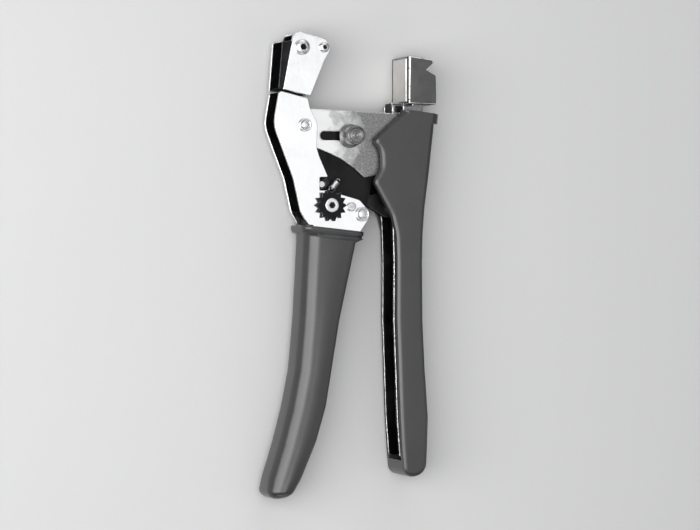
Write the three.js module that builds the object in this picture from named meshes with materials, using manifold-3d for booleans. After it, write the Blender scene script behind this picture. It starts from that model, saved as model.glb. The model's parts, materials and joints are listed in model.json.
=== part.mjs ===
// A press tool for modular network jacks, lying flat with its handles closed.
// X runs from the fixed arm to the moving handle, Y from the grip ends to the head, Z is thickness.
// All sizes are millimetres. Heights named "from the middle" are measured from the tool's mid-plane.
import * as THREE from 'three';
import { mergeVertices } from 'three/addons/utils/BufferGeometryUtils.js';
import Module from 'manifold-3d';

const wasm = await Module();
wasm.setup();

// ---------------------------------------------------------------- driving dimensions

// Lengths along the tool
const gripLength = 120;
const handleLength = 160;
const tangLength = 78;

// Thicknesses of the stack, from the middle outwards
const bladeThickness = 3;
const coreThickness = 2;
const jawPlateThickness = 1.5;
const framePlateThickness = 2;
const channelThickness = 1.5;
const coverThickness = 2.9;
const slideGap = 0.4;
const fit = 0.3;

// Pins, screws and rivets
const fulcrumRadius = 2.5;
const drivePinRadius = 2.2;
const studRadius = 1.7;
const rivetShankRadius = 2;
const rivetHeadRadius = 2.9;
const lowerRivetHeadRadius = 3.2;
const largeScrewRadius = 1.8;
const largeScrewHeadRadius = 3.4;
const smallScrewRadius = 1.3;
const smallScrewHeadRadius = 2.3;
const sectorPinRadius = 1.6;
const pawlPinRadius = 1.4;
const adjusterScrewRadius = 1.8;
const lockScrewRadius = 1.1;

// The jaw and what it presses with
const jawTravel = 6.45;
const blockWidth = 13.5;
const blockHeight = 21.3;
const blockHalfDepth = 10.8;
const dieHeight = 19.5;
const dieDepth = 16;
const dieThickness = 3.2;
const knobRadius = 4.3;
const knobHeight = 6.7;

// The ratchet and the adjuster
const sectorRadius = 42;
const sectorWidth = 6;
const sectorToothDepth = 1.5;
const sectorToothCount = 14;
const wheelRadius = 7.2;
const wheelToothDepth = 1.7;
const wheelToothCount = 14;

// Centres of everything that turns or fastens
const fulcrum = { x: 30.2, y: 61 };
const drivePin = { x: fulcrum.x - 4, y: fulcrum.y - 15 };
const upperRivet = { x: -22.7, y: 61.7 };
const lowerRivet = { x: 4.1, y: 22.7 };
const guideStud = { x: -1, y: 57.3 };
const largeScrew = { x: -24, y: 95.8 };
const smallScrew = { x: -13.8, y: 96 };
const adjuster = { x: -10.8, y: 26.5 };
const lockScrew = { x: adjuster.x + wheelRadius + 2.6, y: adjuster.y - 0.6 };
const pawlPivot = { x: -13.9, y: 35.8 };
const gripTop = 17.8;
const handleTop = 67.6;

// ---------------------------------------------------------------- the stack, worked out

const bladeHalf = bladeThickness / 2;
const coreInner = bladeHalf + slideGap + 0.1;
const coreOuter = coreInner + coreThickness;
const jawInner = coreOuter + slideGap;
const jawOuter = jawInner + jawPlateThickness;
const plateInner = jawOuter + slideGap;
const plateOuter = plateInner + framePlateThickness;
const channelOuter = plateInner + channelThickness;
const coverInner = channelOuter + fit;
const halfDepth = coverInner + coverThickness;
const midPlane = halfDepth;
const spacerHalf = plateInner - fit;

const roundSegments = 24;
const arcStep = 0.26;

// ---------------------------------------------------------------- finishes

function finish(color, roughness, metalness) {
  return new THREE.MeshStandardMaterial({ color, roughness, metalness });
}

const chrome = finish(0xd9dadb, 0.16, 1);
const satinSteel = finish(0xa9aaab, 0.34, 1);
const blackSteel = finish(0x1b1c1d, 0.42, 0.8);
const zincSteel = finish(0xb9babb, 0.28, 1);
const springSteel = finish(0x8d8e90, 0.3, 1);
const dieSteel = finish(0xb8b5ae, 0.4, 1);
const gripPlastic = finish(0x3f4042, 0.55, 0);
const blockSteel = finish(0x37383a, 0.45, 0.6);

// ---------------------------------------------------------------- solids

// A closed geometry becomes a solid that can be joined and cut.
function solidOf(geometry) {
  geometry.deleteAttribute('normal');
  geometry.deleteAttribute('uv');
  const merged = mergeVertices(geometry, 1e-4);
  const index = merged.index.array;
  const triangles = [];
  for (let i = 0; i < index.length; i += 3) {
    const [a, b, c] = [index[i], index[i + 1], index[i + 2]];
    if (a !== b && b !== c && c !== a) triangles.push(a, b, c);
  }
  return new wasm.Manifold(new wasm.Mesh({
    numProp: 3,
    vertProperties: new Float32Array(merged.attributes.position.array),
    triVerts: new Uint32Array(triangles),
  }));
}

function geometryOf(solid) {
  const mesh = solid.getMesh();
  const geometry = new THREE.BufferGeometry();
  geometry.setAttribute('position', new THREE.BufferAttribute(mesh.vertProperties, 3));
  geometry.setIndex(new THREE.BufferAttribute(mesh.triVerts, 1));
  geometry.computeVertexNormals();
  return geometry;
}

function cut(solid, ...tools) {
  return tools.reduce((rest, tool) => rest.subtract(tool), solid);
}

function join(...solids) {
  return solids.reduce((sum, next) => sum.add(next));
}

// Corners are [x, y] for a sharp one and [x, y, radius] for a rounded one.
function rounded(corners) {
  const points = [];
  corners.forEach(([x, y, radius = 0], i) => {
    const corner = new THREE.Vector2(x, y);
    if (radius === 0) {
      points.push(corner);
      return;
    }
    const before = new THREE.Vector2(...corners.at(i - 1).slice(0, 2)).sub(corner);
    const after = new THREE.Vector2(...corners[(i + 1) % corners.length].slice(0, 2)).sub(corner);
    const half = before.angleTo(after) / 2;
    const reach = Math.min(radius / Math.tan(half), before.length() * 0.49, after.length() * 0.49);
    const start = before.setLength(reach).add(corner);
    const end = after.setLength(reach).add(corner);
    const centre = start.clone().add(end).sub(corner.clone().multiplyScalar(2));
    centre.setLength(reach / Math.cos(half)).add(corner);
    const from = start.clone().sub(centre);
    const turn = Math.atan2(from.cross(end.clone().sub(centre)), from.dot(end.clone().sub(centre)));
    const steps = Math.max(1, Math.ceil(Math.abs(turn) / arcStep));
    for (let s = 0; s <= steps; s += 1) {
      points.push(start.clone().rotateAround(centre, (turn * s) / steps));
    }
  });
  return new THREE.Shape(points);
}

// A slab between two heights from the middle, with an optional rounded-over rim.
function slab(shape, low, high, rim = 0, rimWidth = rim, rimSteps = 3) {
  const geometry = new THREE.ExtrudeGeometry(shape, {
    depth: high - low - 2 * rim,
    bevelEnabled: rim > 0,
    bevelThickness: rim,
    bevelSize: rimWidth,
    bevelOffset: -rimWidth,
    bevelSegments: rimSteps,
  });
  geometry.translate(0, 0, midPlane + low + rim);
  return solidOf(geometry);
}

function block(x0, x1, y0, y1, low, high) {
  const geometry = new THREE.BoxGeometry(x1 - x0, y1 - y0, high - low);
  geometry.translate((x0 + x1) / 2, (y0 + y1) / 2, midPlane + (low + high) / 2);
  return solidOf(geometry);
}

function rod(centre, radius, low, high, segments = roundSegments) {
  const geometry = new THREE.CylinderGeometry(radius, radius, high - low, segments);
  geometry.rotateX(Math.PI / 2);
  geometry.translate(centre.x, centre.y, midPlane + (low + high) / 2);
  return solidOf(geometry);
}

// Turned about Z: the profile is [radius, height from the middle], from the axis back to the axis.
function turned(centre, profile, segments = roundSegments) {
  const outline = profile.map(([radius, height]) => new THREE.Vector2(radius, height));
  const geometry = new THREE.LatheGeometry(outline, segments);
  geometry.rotateX(Math.PI / 2);
  geometry.translate(centre.x, centre.y, midPlane);
  return solidOf(geometry);
}

// A straight round bar between two points.
function bar(from, to, radius, segments = 12) {
  const start = new THREE.Vector3(...from);
  const along = new THREE.Vector3(...to).sub(start);
  const geometry = new THREE.CylinderGeometry(radius, radius, along.length(), segments);
  const turn = new THREE.Quaternion().setFromUnitVectors(
    new THREE.Vector3(0, 1, 0), along.clone().normalize());
  geometry.applyQuaternion(turn);
  geometry.translate(...start.addScaledVector(along, 0.5).toArray());
  return solidOf(geometry);
}

function hexagon(centre, radius) {
  const corners = [];
  for (let i = 0; i < 6; i += 1) {
    const angle = (i * Math.PI) / 3;
    corners.push([centre.x + radius * Math.cos(angle), centre.y + radius * Math.sin(angle)]);
  }
  return rounded(corners);
}

// ---------------------------------------------------------------- the assembly

const group = new THREE.Group();
group.name = 'jack_press_tool';

function addPart(name, solid, material) {
  const mesh = new THREE.Mesh(geometryOf(solid), material);
  mesh.name = name;
  group.add(mesh);
}

// Front pieces lie above the mid-plane and back pieces are their mirror images.
function onBothFaces(make) {
  make('front', (low, high) => [low, high]);
  make('back', (low, high) => [-high, -low]);
}

// ---------------------------------------------------------------- outlines of the fixed arm

const headJointLeft = { x: -32.6, y: 77.2 };
const headJointRight = { x: -20.1, y: 74.6 };
const headJointGap = 0.5;

const headOutline = [
  [headJointLeft.x, headJointLeft.y],
  [-29.1, 95.6],
  [-27.6, 102.1, 4.2],
  [-24.4, 102.7, 3],
  [-12.6, 99.7, 4],
  [-10.4, 95.6, 3],
  [-13.4, 90.6, 6],
  [-18.9, 77.2, 8],
  [headJointRight.x, headJointRight.y],
];

// The back plate of the head is wider than the front one and carries the block's left shoulder.
const headShoulder = { bottom: -34.4, top: -32.7, height: 98.6 };
const backHeadOutline = [
  [headShoulder.bottom, headJointLeft.y],
  [headShoulder.top, headShoulder.height, 1],
  [-28.2, headShoulder.height + 0.6, 1],
  [-27.2, 102.1, 2],
  ...headOutline.slice(3),
];

// The plate below the joint, down to the top of the grip, with the pawl's notch in its right edge.
const notchBottom = 33;
const notchTop = 38.9;
const notchLeft = -15.7;
const frameLeftEdge = [
  [-34.2, 76.9 - headJointGap, 1],
  [-36.8, 61.7, 14],
  [-27.6, 38.2, 8],
  [-24.3, 23.6, 6],
  [-20.8, 17.9],
];
const frameRightEdge = [
  [3.2, 14.8],
  [8.7, 22.8, lowerRivetHeadRadius + 1.6],
  [3, 29, 3],
  [-11.8, notchBottom, 0.5],
  [notchLeft, notchBottom, 0.5],
  [notchLeft, notchTop, 0.5],
  [-11.8, notchTop, 0.5],
  [-15.9, 48, 6],
  [-17.2, 52, 4],
  [-16.7, 62.5, 7],
  [-20.4, 69.5, 6],
  [-21.2, 73.9 - headJointGap, 1],
];

// Left and right edges of the grip at shares of its length below its top.
const gripTip = { left: -39.9, right: -29.5, rise: 9 };
const gripStations = [
  { down: 0.055, left: -22.2, right: 1.3 },
  { down: 0.35, left: -24.1, right: -6.6 },
  { down: 0.53, left: -26.1, right: -10.2 },
  { down: 0.665, left: -29.3, right: -12.9 },
  { down: 0.795, left: -33.4, right: -17.5 },
  { down: 1 - gripTip.rise / gripLength, left: -38.3, right: -24.2 },
];

function gripY(down) {
  return gripTop - down * gripLength;
}

// An edge at any share of the length, by straight interpolation between its stations.
function edgeAt(stations, side, down) {
  const next = Math.max(1, stations.findIndex((station) => station.down >= down));
  const [a, b] = [stations[next - 1], stations[next]];
  const share = (down - a.down) / (b.down - a.down);
  return a[side] + share * (b[side] - a[side]);
}

// The tang of each plate runs inside the grip, clear of its walls.
const tangWall = 4.2;
const tangMouth = { left: -18.6, right: 1.6 };
const tangEnd = gripTop - tangLength;
const tangSteps = [
  gripY(gripStations[0].down) - 2,
  gripY(gripStations[1].down),
  gripY(gripStations[2].down),
  tangEnd,
];

function tangSide(side, inset) {
  const sign = side === 'left' ? 1 : -1;
  return tangSteps.map((y) => [
    edgeAt(gripStations, side, (gripTop - y) / gripLength) + sign * inset, y, 3]);
}

function tangOutline(inset) {
  return [
    [tangMouth.left + inset - tangWall, gripTop + 2],
    ...tangSide('left', inset),
    ...tangSide('right', inset).reverse(),
    [tangMouth.right - inset + tangWall, gripTop + 2],
  ];
}

// ---------------------------------------------------------------- frame plates, head and spine

function fastenerHole(centre, shank) {
  return rod(centre, shank + fit, -halfDepth - 1, halfDepth + 1);
}

function makeFrame() {
  const plateShape = rounded([...frameLeftEdge, ...frameRightEdge]);
  const tang = rounded(tangOutline(tangWall));
  onBothFaces((face, layer) => {
    const [low, high] = layer(plateInner, plateOuter);
    const plate = join(slab(plateShape, low, high), slab(tang, low, high));
    addPart(`${face}_frame_plate`, cut(
      plate,
      fastenerHole(upperRivet, rivetShankRadius),
      fastenerHole(lowerRivet, rivetShankRadius),
      ...(face === 'front' ? [fastenerHole(adjuster, adjusterScrewRadius)] : []),
      ...(face === 'front' ? [fastenerHole(lockScrew, lockScrewRadius)] : []),
    ), chrome);
    addPart(`${face}_head_plate`, cut(
      slab(rounded(face === 'front' ? headOutline : backHeadOutline), low, high),
      fastenerHole(largeScrew, largeScrewRadius),
      fastenerHole(smallScrew, smallScrewRadius),
    ), chrome);
  });
}

const spineThickness = 2.9;
const spineInset = 0.4;

function makeSpine() {
  const outer = frameLeftEdge.slice(1, 4).map(([x, y, radius]) => [x + spineInset, y, radius]);
  const inner = outer.map(([x, y, radius]) => [x + spineThickness, y, radius]).reverse();
  const top = frameLeftEdge[0];
  const shape = rounded([
    [top[0] + spineInset, top[1] - 0.4],
    ...outer,
    ...inner,
    [top[0] + spineInset + spineThickness, top[1] - 0.4],
  ]);
  addPart('frame_spine', slab(shape, -spacerHalf, spacerHalf), blackSteel);
}

// The head's press block fills the space between its plates, with a fork for the cable.
const forkHalfWidth = 3.6;
const forkDepth = 9;

function makeHeadBlock() {
  const shape = rounded([
    [headShoulder.bottom + spineInset, headJointLeft.y + 0.5],
    [headShoulder.top + spineInset, headShoulder.height - spineInset, 1],
    [-27.8, headShoulder.height + 0.2, 1],
    [-26.8, 101.6, 2],
    [-24.4, 102, 3],
    [-12.9, 99.1, 3.5],
    [-11, 95.6, 3],
    [-13.9, 90.8, 6],
    [-19.3, 77.6, 8],
    [-20.2, headJointRight.y + 0.6],
  ]);
  const forkShape = rounded([
    [-19.6 - forkDepth + 3, 78.6, 1.5],
    [-22.6 + 2, 90.4, 1.5],
    [-6, 90.4],
    [-6, 78.6],
  ]);
  addPart('head_press_block', cut(
    slab(shape, -spacerHalf, spacerHalf),
    slab(forkShape, -forkHalfWidth, forkHalfWidth),
    fastenerHole(largeScrew, largeScrewRadius),
    fastenerHole(smallScrew, smallScrewRadius),
  ), blackSteel);
}

// ---------------------------------------------------------------- fasteners

// A button-head socket screw from the front, with a hexagon nut behind.
function makeScrewAndNut(name, centre, shank, headRadius) {
  const seat = plateOuter + fit;
  const headHeight = headRadius * 0.62;
  const nutRadius = headRadius * 1.08;
  const nutHeight = shank * 1.1;
  const shankEnd = -seat - nutHeight;
  const headProfile = [
    [0, shankEnd], [shank, shankEnd], [shank, seat], [headRadius, seat],
    [headRadius, seat + headHeight * 0.35], [headRadius * 0.9, seat + headHeight * 0.68],
    [headRadius * 0.7, seat + headHeight * 0.9], [headRadius * 0.5, seat + headHeight],
    [0, seat + headHeight],
  ];
  const socket = slab(hexagon(centre, headRadius * 0.44), seat + headHeight * 0.25, seat + headHeight + 1);
  addPart(`${name}_screw`, cut(turned(centre, headProfile), socket), zincSteel);
  addPart(`${name}_nut`, cut(
    slab(hexagon(centre, nutRadius), shankEnd + 0.2, -seat),
    rod(centre, shank + fit, shankEnd - 1, 0),
  ), zincSteel);
}

// A rivet with a ring-shaped head on each face and a low crown in the ring.
function makeRivet(name, centre, headRadius) {
  const seat = plateOuter + fit;
  const headHeight = 1.3;
  const half = [
    [rivetShankRadius, seat], [headRadius, seat], [headRadius, seat + headHeight * 0.5],
    [headRadius * 0.86, seat + headHeight * 0.8], [headRadius * 0.68, seat + headHeight * 0.8],
    [headRadius * 0.6, seat + headHeight * 0.5], [headRadius * 0.5, seat + headHeight],
    [0, seat + headHeight],
  ];
  const mirrored = half.map(([radius, height]) => [radius, -height]).reverse();
  addPart(name, turned(centre, [...mirrored, ...half]), zincSteel);
}

// ---------------------------------------------------------------- the black core

const coreEndRadius = 3.8;
const rivetWasherRadius = 4;

function makeCore() {
  const shape = rounded([
    [-31.5, 66, 3],
    [-31.5, 57, 6],
    [-22.5, 38, 8],
    [-20.5, 24, 4],
    [-15, 20.5, 3],
    [5.5, 19, 3],
    [7.6, 25, 3],
    [10.8, 38.3, 6],
    [fulcrum.x - 9, fulcrum.y - 12, 6],
    [fulcrum.x + 1, fulcrum.y - coreEndRadius],
    [fulcrum.x + 1, fulcrum.y + coreEndRadius],
    [fulcrum.x - 8, fulcrum.y + coreEndRadius, 8],
    [guideStud.x, 66.4, 20],
  ]);
  onBothFaces((face, layer) => {
    const [low, high] = layer(coreInner, coreOuter);
    const plate = join(slab(shape, low, high), rod(fulcrum, coreEndRadius, low, high));
    addPart(`${face}_core_plate`, cut(
      plate,
      fastenerHole(fulcrum, fulcrumRadius - 0.6),
      fastenerHole(upperRivet, rivetShankRadius),
      fastenerHole(lowerRivet, rivetShankRadius),
      fastenerHole(guideStud, studRadius),
      fastenerHole(pawlPivot, pawlPinRadius),
    ), blackSteel);
    const [inner, outer] = layer(coreOuter + fit, plateInner - fit);
    addPart(`${face}_rivet_washer`, cut(
      rod(lowerRivet, rivetWasherRadius, inner, outer),
      fastenerHole(lowerRivet, rivetShankRadius),
    ), blackSteel);
  });
}

// ---------------------------------------------------------------- grip of the fixed arm

const collarHeight = 3.2;
const collarLip = 1;
const gripCollar = { left: -22.4, right: 4.2, drop: 3 };
const collarCorner = 4;
const gripRim = 4.5;
const gripRimWidth = 3.6;
const gripTipCorner = { left: 4.3, right: 7 };
const mouthDepth = 6.2;

// A ring-shaped collar: a rounded section run a short way along Y, then tilted about its middle.
function collarBand(left, right, height) {
  const width = Math.hypot(right.x - left.x, right.y - left.y);
  const section = rounded([
    [-width / 2, -halfDepth, collarCorner],
    [width / 2, -halfDepth, collarCorner],
    [width / 2, halfDepth, collarCorner],
    [-width / 2, halfDepth, collarCorner],
  ]);
  const geometry = new THREE.ExtrudeGeometry(section, { depth: height, bevelEnabled: false });
  geometry.rotateX(Math.PI / 2);
  geometry.rotateZ(Math.atan2(right.y - left.y, right.x - left.x));
  geometry.translate((left.x + right.x) / 2, (left.y + right.y) / 2, midPlane);
  return solidOf(geometry);
}

function makeGrip() {
  const left = gripStations.map(({ down, left: x }) => [x, gripY(down), 14]);
  const right = gripStations.map(({ down, right: x }) => [x, gripY(down), 14]).reverse();
  const collarLeft = { x: gripCollar.left - collarLip, y: gripTop };
  const collarRight = { x: gripCollar.right + collarLip, y: gripTop - gripCollar.drop };
  const body = slab(rounded([
    [left[0][0], gripTop + 3],
    ...left,
    [gripTip.left, gripY(1), gripTipCorner.left],
    [gripTip.right, gripY(1), gripTipCorner.right],
    ...right,
    [right.at(-1)[0] + 2.4, gripTop + 3],
  ]), -halfDepth, halfDepth, gripRim, gripRimWidth);
  const above = block(-60, 60, gripTop - gripCollar.drop - 0.4, gripTop + 20, -halfDepth - 1, halfDepth + 1);
  const collar = collarBand(collarLeft, collarRight, collarHeight);
  const pocket = rounded(tangOutline(tangWall - fit));
  const slots = [[plateInner - fit, plateOuter + fit], [-plateOuter - fit, -plateInner + fit]]
    .map(([low, high]) => slab(pocket, low, high));
  const mouth = slab(rounded([
    [gripCollar.left + 0.5, gripTop + 4],
    [gripCollar.left + 1.2, gripTop - mouthDepth],
    [gripCollar.right - 0.5, gripTop - mouthDepth],
    [gripCollar.right - 0.4, gripTop + 4],
  ]), -plateOuter - fit, plateOuter + fit);
  addPart('left_grip', cut(join(cut(body, above), collar), ...slots, mouth), gripPlastic);
}

// ---------------------------------------------------------------- the sliding jaw

const slotHalfHeight = studRadius + fit;
const slotLeft = -12.7;
const keyholeRadius = 4.5;
const neck = { left: 19.4, right: fulcrum.x + 3.8, bottom: 66.4 };
const jawBlock = { left: 25.4, bottom: 72 };
const dieProud = 0.5;
const tongue = {
  left: jawBlock.left + dieThickness - dieProud + 2 * fit + 0.1,
  right: jawBlock.left + 11,
  top: jawBlock.bottom + 8,
};
const keyWindow = { left: 21, right: 24.2, bottom: 68.4, top: 71 };
const lugRadius = 4.2;
const drivePinDrop = 0.6;

function keyBar(grow, low, high) {
  return block(
    keyWindow.left - grow, keyWindow.right + grow,
    keyWindow.bottom - grow, keyWindow.top + grow, low, high);
}

// The plate's right edge stays left of the fulcrum pin through the whole travel.
const jawPinClear = fulcrum.x - fulcrumRadius - jawTravel - fit;

function jawPlateShape() {
  return rounded([
    [-31.2, 69.4],
    [neck.left, 67.8],
    [neck.left, jawBlock.bottom - 0.6, 0.4],
    [tongue.left, jawBlock.bottom - 0.6],
    [tongue.left, tongue.top, 1],
    [tongue.right, tongue.top, 1],
    [tongue.right, jawBlock.bottom - 0.6],
    [neck.right, jawBlock.bottom - 0.6, 1],
    [neck.right, neck.bottom, 1],
    [jawPinClear - 0.3, 64.6, 2],
    [jawPinClear - 0.3, 55, 4],
    [drivePin.x + lugRadius * 0.72, drivePin.y + lugRadius + 1.6, 3],
    [drivePin.x + lugRadius, drivePin.y, 3],
    [drivePin.x, drivePin.y - lugRadius - drivePinDrop, 3],
    [10.2, 40, 3],
    [6.1, 39.1, 1],
    [1.3, 43.2],
    [-4.8, 47.2],
    [-11.1, 50],
    [-16.2, 51.7],
    [-30.2, 56],
  ]);
}

function makeJaw() {
  const shape = jawPlateShape();
  onBothFaces((face, layer) => {
    const [low, high] = layer(jawInner, jawOuter);
    const guideSlot = block(
      slotLeft, guideStud.x, guideStud.y - slotHalfHeight, guideStud.y + slotHalfHeight, low - 1, high + 1);
    const forkSlot = block(
      -40, upperRivet.x,
      upperRivet.y - rivetShankRadius - fit, upperRivet.y + rivetShankRadius + fit, low - 1, high + 1);
    const driveSlot = block(
      drivePin.x - drivePinRadius - fit, drivePin.x + drivePinRadius + fit,
      drivePin.y - drivePinDrop, drivePin.y, low - 1, high + 1);
    const dropped = { x: drivePin.x, y: drivePin.y - drivePinDrop };
    addPart(`${face}_jaw_plate`, cut(
      slab(shape, low, high),
      guideSlot,
      rod({ x: slotLeft, y: guideStud.y }, slotHalfHeight, low - 1, high + 1),
      rod(guideStud, keyholeRadius, low - 1, high + 1),
      forkSlot,
      rod(upperRivet, rivetShankRadius + fit, low - 1, high + 1),
      driveSlot,
      rod(drivePin, drivePinRadius + fit, low - 1, high + 1),
      rod(dropped, drivePinRadius + fit, low - 1, high + 1),
      keyBar(fit, low - 1, high + 1),
    ), satinSteel);
  });
}

// ---------------------------------------------------------------- press block and die on the jaw

const dieBottom = jawBlock.bottom + (blockHeight - dieHeight) / 2;
const dieScrewRadius = 1.6;
const dieScrewHeadRadius = 2.4;
const dieScrewHeadDepth = 2.6;
const dieScrewHeights = [dieBottom + 2.9, dieBottom + 8.6];
const dieScrewBite = 1.7;

function alongX(from, to, y, radius, segments = 20) {
  return bar([from, y, midPlane], [to, y, midPlane], radius, segments);
}

function makeJawBlock() {
  const right = jawBlock.left + blockWidth;
  const top = jawBlock.bottom + blockHeight;
  const body = slab(rounded([
    [jawBlock.left, jawBlock.bottom],
    [jawBlock.left, top],
    [right - 2, top - 1.2, 2.4],
    [right - 1.4, top - 3.2],
    [right - 4.4, top - 6.2],
    [right - 0.2, top - 8.4],
    [right, jawBlock.bottom],
  ]), -blockHalfDepth, blockHalfDepth, 0.9, 0.9, 2);
  const heelHalf = jawInner - fit;
  const heel = block(
    neck.left + fit, neck.right - fit, neck.bottom + fit, dieBottom - fit, -heelHalf, heelHalf);
  const diePocket = block(
    jawBlock.left - 2, jawBlock.left + dieThickness - dieProud + fit,
    dieBottom - fit, dieBottom + dieHeight + fit, -dieDepth / 2 - fit, dieDepth / 2 + fit);
  const tongueSlots = [[jawInner - fit, jawOuter + fit], [-jawOuter - fit, -jawInner + fit]]
    .map(([low, high]) => block(
      tongue.left - fit, tongue.right + fit, jawBlock.bottom - 2, tongue.top + fit, low, high));
  const screwHoles = dieScrewHeights.flatMap((y) => [
    alongX(jawBlock.left, right + 2, y, dieScrewRadius + fit),
    alongX(right - dieScrewHeadDepth, right + 2, y, dieScrewHeadRadius + fit),
  ]);
  addPart('jaw_block', cut(
    join(body, heel), diePocket, ...tongueSlots, ...screwHoles,
    keyBar(fit, -blockHalfDepth, blockHalfDepth),
  ), blockSteel);
  addPart('jaw_key', keyBar(0, -jawOuter, jawOuter), blackSteel);
}

// The die is a plain steel plate, held from behind by two socket screws that pass through the block.
function makeDie() {
  const left = jawBlock.left - dieProud;
  const plate = block(
    left, left + dieThickness, dieBottom, dieBottom + dieHeight, -dieDepth / 2, dieDepth / 2);
  const sockets = dieScrewHeights.map((y) => alongX(
    left + dieScrewBite - fit, left + 2 * dieThickness, y, dieScrewRadius + fit));
  addPart('crimp_die', cut(plate, ...sockets), dieSteel);
  dieScrewHeights.forEach((y, i) => {
    const right = jawBlock.left + blockWidth;
    const shank = alongX(left + dieScrewBite, right - 1.2, y, dieScrewRadius);
    const head = alongX(right - dieScrewHeadDepth + fit, right - 0.5, y, dieScrewHeadRadius);
    const socket = alongX(right - 1.7, right + 1, y, dieScrewHeadRadius * 0.5, 6);
    addPart(`die_screw_${i + 1}`, cut(join(shank, head), socket), zincSteel);
  });
}

// ---------------------------------------------------------------- guide stud, knob and nut

const knobSeat = plateInner;
const knobTop = knobSeat + 2.4 + knobHeight;
const knobCollarRadius = 5.2;
const knobScrewDepth = 2;
const fluteCount = 16;
const fluteRadius = 0.32;
const fluteOffset = 0.12;
const studFlangeRadius = 3.4;
const studTail = 1.4;
const guideNutRadius = 3.7;

function makeGuide() {
  const flangeHalf = coreInner - fit;
  addPart('guide_stud', turned(guideStud, [
    [0, -plateOuter - studTail],
    [studRadius, -plateOuter - studTail],
    [studRadius, -flangeHalf],
    [studFlangeRadius, -flangeHalf],
    [studFlangeRadius, flangeHalf],
    [studRadius, flangeHalf],
    [studRadius, knobTop - knobScrewDepth],
    [0, knobTop - knobScrewDepth],
  ]), zincSteel);
  const flutes = [];
  for (let i = 0; i < fluteCount; i += 1) {
    const angle = (i / fluteCount) * Math.PI * 2;
    const centre = {
      x: guideStud.x + (knobRadius + fluteOffset) * Math.cos(angle),
      y: guideStud.y + (knobRadius + fluteOffset) * Math.sin(angle),
    };
    flutes.push(rod(centre, fluteRadius, knobSeat + 3.2, knobTop - 1.2, 5));
  }
  const collar = [
    [0, knobSeat],
    [knobCollarRadius, knobSeat],
    [knobCollarRadius, knobSeat + 1.2],
    [knobRadius * 0.86, knobSeat + 1.9],
    [knobRadius * 0.86, knobSeat + 2.4],
  ];
  const rim = [
    [knobRadius, knobSeat + 2.8],
    [knobRadius, knobTop - 0.6],
    [knobRadius * 0.88, knobTop],
    [knobRadius * 0.74, knobTop],
  ];
  const face = [
    [knobRadius * 0.68, knobTop - 0.5],
    [knobRadius * 0.3, knobTop - 0.5],
    [knobRadius * 0.2, knobTop - 1],
    [0, knobTop - 1],
  ];
  addPart('guide_knob', cut(
    turned(guideStud, [...collar, ...rim, ...face]),
    rod(guideStud, studRadius + fit, knobSeat - 1, knobTop - knobScrewDepth + fit),
    ...flutes,
  ), zincSteel);
  addPart('guide_nut', cut(
    slab(hexagon(guideStud, guideNutRadius), -plateOuter - 1.2, -jawOuter - fit),
    rod(guideStud, studRadius + fit, -halfDepth, 0),
  ), zincSteel);
}

// ---------------------------------------------------------------- adjuster wheel and its screws

const wheelThickness = 1.6;
const adjusterFlangeRadius = 3.2;
const adjusterHeadRadius = 3.1;
const lockHeadRadius = 2;

function starShape(centre, tipRadius, toothDepth, count) {
  const points = [];
  for (let i = 0; i < count; i += 1) {
    const angle = (i / count) * Math.PI * 2;
    const half = Math.PI / count;
    points.push([angle, tipRadius], [angle + half, tipRadius - toothDepth]);
  }
  return new THREE.Shape(points.map(([angle, radius]) => new THREE.Vector2(
    centre.x + radius * Math.cos(angle), centre.y + radius * Math.sin(angle))));
}

function makeAdjuster() {
  const seat = plateOuter + fit;
  const wheelTop = seat + wheelThickness;
  addPart('adjuster_wheel', cut(
    slab(starShape(adjuster, wheelRadius, wheelToothDepth, wheelToothCount), seat, wheelTop),
    rod(adjuster, adjusterScrewRadius + fit, seat - 1, wheelTop + 1),
  ), blackSteel);
  const bottom = coreOuter + fit;
  const flangeTop = plateInner - fit;
  const head = wheelTop + fit;
  const adjusterSocket = slab(hexagon(adjuster, 1.5), head - 0.4, head + 2);
  addPart('adjuster_screw', cut(turned(adjuster, [
    [0, bottom],
    [adjusterFlangeRadius, bottom],
    [adjusterFlangeRadius, flangeTop],
    [adjusterScrewRadius, flangeTop],
    [adjusterScrewRadius, head],
    [adjusterHeadRadius, head],
    [adjusterHeadRadius, head + 0.3],
    [adjusterHeadRadius - 0.4, head + 0.5],
    [0, head + 0.5],
  ]), adjusterSocket), zincSteel);
  const lockSlot = block(
    lockScrew.x - 3, lockScrew.x + 3, lockScrew.y - 0.3, lockScrew.y + 0.3, seat + 0.7, seat + 2);
  addPart('lock_screw', cut(turned(lockScrew, [
    [0, bottom],
    [lockHeadRadius, bottom],
    [lockHeadRadius, flangeTop],
    [lockScrewRadius, flangeTop],
    [lockScrewRadius, seat],
    [lockHeadRadius, seat],
    [lockHeadRadius, seat + 0.9],
    [lockHeadRadius - 0.4, seat + 1.3],
    [0, seat + 1.3],
  ], 20), lockSlot), zincSteel);
}

// ---------------------------------------------------------------- pawl, its pin, lever and spring

const pawlReach = Math.hypot(fulcrum.x - pawlPivot.x, fulcrum.y - pawlPivot.y) - sectorRadius - 1.4 * fit;

function pawlPoint(along, across) {
  const toFulcrum = new THREE.Vector2(fulcrum.x - pawlPivot.x, fulcrum.y - pawlPivot.y).normalize();
  return [
    pawlPivot.x + along * toFulcrum.x - across * toFulcrum.y,
    pawlPivot.y + along * toFulcrum.y + across * toFulcrum.x,
  ];
}

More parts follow.
